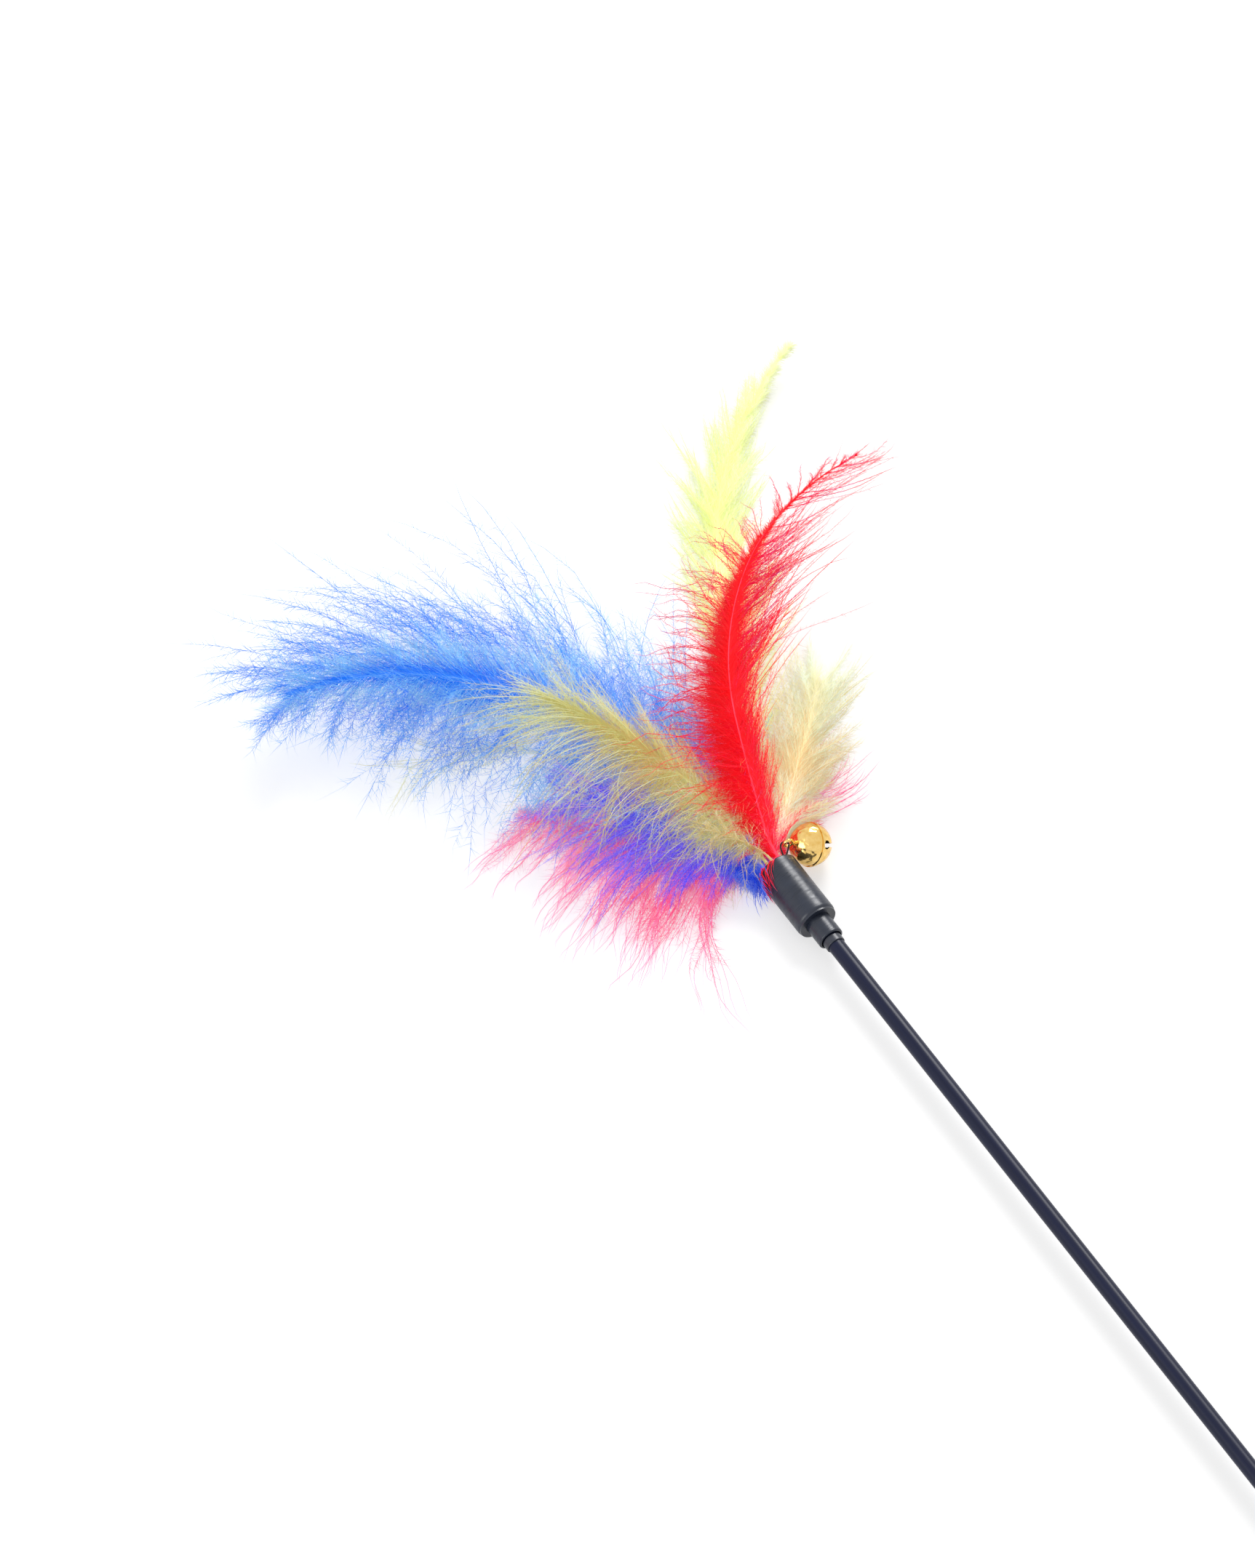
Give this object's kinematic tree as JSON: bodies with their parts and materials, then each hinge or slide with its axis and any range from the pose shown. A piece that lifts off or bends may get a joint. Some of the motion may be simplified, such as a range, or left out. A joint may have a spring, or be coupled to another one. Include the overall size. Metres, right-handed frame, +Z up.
{
  "type": "cat teaser wand",
  "caption": "Slim round black rod with a soft cap on its end that holds a spray of long dyed marabou feathers and a small round jingle bell that swings on its eye.",
  "frame": {"origin": "centre of the rod's end face at the butt, on the rod's axis, where the butt cap's straight wall starts", "axes": "+X runs along the rod from the butt to the plumes, +Z points up with the wand lying on a table, +Y is to the left seen from the butt"},
  "size_m": [0.5378, 0.1718, 0.032],
  "materials": {
    "rod_plastic": "satin black moulded rod",
    "soft_pvc": "satin soft PVC",
    "clear_glue": "set hot-melt glue",
    "thread": "twisted thread",
    "gold": "polished",
    "steel": "plain ball",
    "yellow_feather": "dyed marabou feather, translucent",
    "red_feather": "dyed marabou feather, translucent",
    "blue_feather": "dyed marabou feather, translucent"
  },
  "bodies": {
    "wand": {"rod": "rod_plastic", "butt_cap": "soft_pvc", "rod_glue": "clear_glue", "sleeve": "soft_pvc", "head_cap": "soft_pvc", "glue_plug": "clear_glue", "quill_binding": "thread", "bell_tie": "thread", "yellow_tall": "yellow_feather", "red_tall": "red_feather", "yellow_right": "yellow_feather", "red_right": "red_feather", "blue_long": "blue_feather", "blue_lower": "blue_feather", "pink_lower": "red_feather", "yellow_under": "yellow_feather", "yellow_mid": "yellow_feather", "yellow_base": "yellow_feather", "blue_base": "blue_feather", "red_base": "red_feather"},
    "bell": {"bell_eye": "gold", "bell_crown": "gold", "bell_base": "gold"},
    "pellet": {"bell_pellet": "steel"}
  },
  "joints": [
    {"name": "bell_swing", "type": "hinge", "parent": "wand", "child": "bell", "pos_m": [0.41385, -0.00475, 0.00375], "axis": [-0.9848, 0.1736, 0], "range_deg": [-3, 75]},
    {"name": "pellet_roll", "type": "hinge", "parent": "bell", "child": "pellet", "pos_m": [0.4129, -0.01013, 0.00028], "axis": [-0.9848, 0.1736, 0], "range_deg": [-90, 90]}
  ]
}
